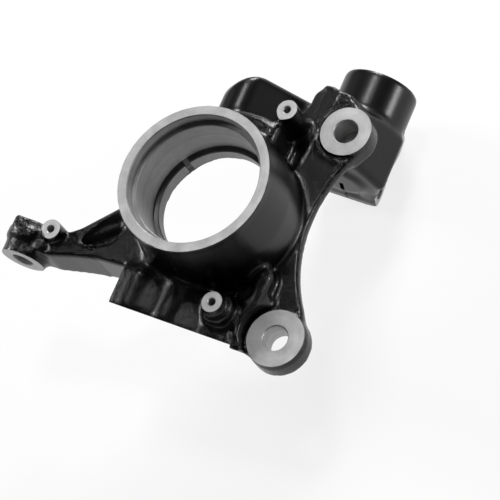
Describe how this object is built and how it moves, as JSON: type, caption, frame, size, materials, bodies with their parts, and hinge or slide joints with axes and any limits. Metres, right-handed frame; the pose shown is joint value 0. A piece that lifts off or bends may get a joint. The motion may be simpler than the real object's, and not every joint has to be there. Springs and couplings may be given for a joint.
{
  "type": "steering knuckle",
  "caption": "Cast steering knuckle with a bearing bore, caliper ears, a split strut clamp, a ball joint block and a steering arm with a tie rod eye.",
  "frame": {"origin": "on the axis of the wheel bearing's bore, within its seat; the hub's end face is 30 mm outboard of it", "axes": "+Z along the bore, outboard to the wheel; +Y along the strut; +X towards the brake caliper"},
  "size_m": [0.2345, 0.2313, 0.1586],
  "materials": {
    "coated_iron": "black coat over a sand-cast skin, bare where machined"
  },
  "bodies": {
    "root": {"steering_knuckle": "coated_iron"}
  },
  "joints": []
}
